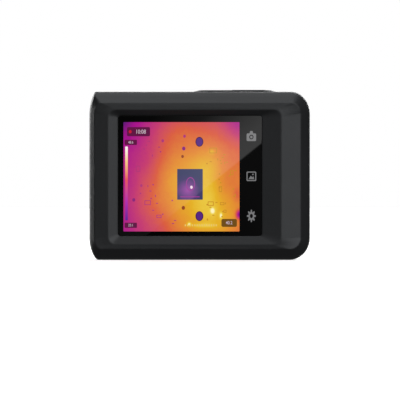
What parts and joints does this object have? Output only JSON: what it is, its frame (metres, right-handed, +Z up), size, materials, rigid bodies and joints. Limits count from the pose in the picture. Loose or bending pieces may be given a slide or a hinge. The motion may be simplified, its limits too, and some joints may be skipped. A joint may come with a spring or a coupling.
{
  "type": "thermal imaging camera",
  "caption": "Pocket-size thermal imaging camera: black casing with a touch screen on the back, an infrared lens and a daylight camera on the front, and a capture button on top.",
  "frame": {"origin": "on the resting face (the underside), under the middle of the object's bounding box", "axes": "+X to the user's right as the screen is read, +Y the way the lens looks, +Z up"},
  "size_m": [0.1116, 0.024, 0.086],
  "materials": {
    "soft_black": "soft-touch moulded, fine texture",
    "front_black": "soft-touch moulded, fine texture",
    "cap_black": "fine satin texture",
    "bezel_black": "smooth satin",
    "rubber_black": "moulded, matt",
    "glass_black": "polished, printed black border",
    "clear_lens": "moulded optic",
    "camera_glass": "coated window",
    "germanium": "polished and coated",
    "lens_black": "black anodised",
    "core_grey": "die-cast",
    "frame_alloy": "die-cast magnesium look",
    "steel_bright": "plated",
    "steel_black": "blackened screw",
    "brass": "knurled outside",
    "copper": "enamelled wire",
    "board_green": "solder mask",
    "chip_black": "moulded package",
    "ceramic": "ceramic package",
    "window_grey": "coated silicon",
    "flex_amber": "polyimide",
    "tape_black": "foam adhesive",
    "tape_cream": "double-sided tape",
    "pouch_silver": "laminated foil pouch",
    "wire_red": "insulated wire",
    "nylon_white": "nylon",
    "blade_black": "blackened foil",
    "magnet_grey": "nickel plated",
    "led_yellow": "phosphor",
    "display_grey": "panel"
  },
  "bodies": {
    "camera": {"rear_cover": "soft_black", "front_cover": "front_black", "case_seal": "rubber_black", "case_screws": "steel_black", "cover_glass": "glass_black", "glass_adhesive": "tape_black", "lcd_panel": "display_grey", "lcd_backlight": "frame_alloy", "display_flex": "flex_amber", "mid_frame": "frame_alloy", "frame_screws": "steel_bright", "main_board": "board_green", "board_screws": "steel_bright", "board_chips": "chip_black", "processor_shield": "steel_bright", "usb_socket_shell": "steel_bright", "usb_socket_tongue": "chip_black", "battery": "pouch_silver", "battery_tape": "tape_cream", "battery_leads": "wire_red", "battery_plug": "nylon_white", "core_board": "board_green", "core_connector": "chip_black", "ir_detector": "ceramic", "detector_window": "window_grey", "nuc_base": "core_grey", "nuc_coil": "copper", "nuc_yoke": "steel_bright", "core_housing": "core_grey", "core_screws": "steel_bright", "core_mount_screws": "steel_bright", "lens_barrel": "lens_black", "lens_front_element": "germanium", "lens_spacer": "lens_black", "lens_rear_element": "germanium", "lens_retaining_ring": "lens_black", "lens_o_ring": "rubber_black", "lens_bezel": "bezel_black", "camera_module": "chip_black", "camera_window": "camera_glass", "torch_led": "led_yellow", "torch_lens": "clear_lens", "front_flex": "flex_amber", "grip_pad": "rubber_black", "button_bezel": "bezel_black", "tact_switch": "chip_black", "button_board": "board_green", "button_flex": "flex_amber", "status_light_pipe": "clear_lens", "port_door_pin": "steel_bright", "tripod_insert": "brass", "strap_bar": "steel_bright"},
    "button": {"capture_button": "cap_black", "switch_actuator": "nylon_white"},
    "door": {"port_door": "rubber_black", "port_door_seal": "rubber_black"},
    "shutter": {"nuc_blade": "blade_black", "nuc_rotor": "magnet_grey"}
  },
  "joints": [
    {"name": "button_press", "type": "slide", "parent": "camera", "child": "button", "axis": [0, 0, -1], "range_m": [0, 0.0003], "stiffness_N_per_m": 2500, "springref_m": -0.0001},
    {"name": "door_hinge", "type": "hinge", "parent": "camera", "child": "door", "pos_m": [-0.05455, 0.00023, 0.0339], "axis": [0, -1, 0], "range_deg": [0, 90]},
    {"name": "shutter_swing", "type": "hinge", "parent": "camera", "child": "shutter", "pos_m": [-0.028, 0.0055, 0.049], "axis": [0, -1, 0], "range_deg": [0, 48]}
  ]
}
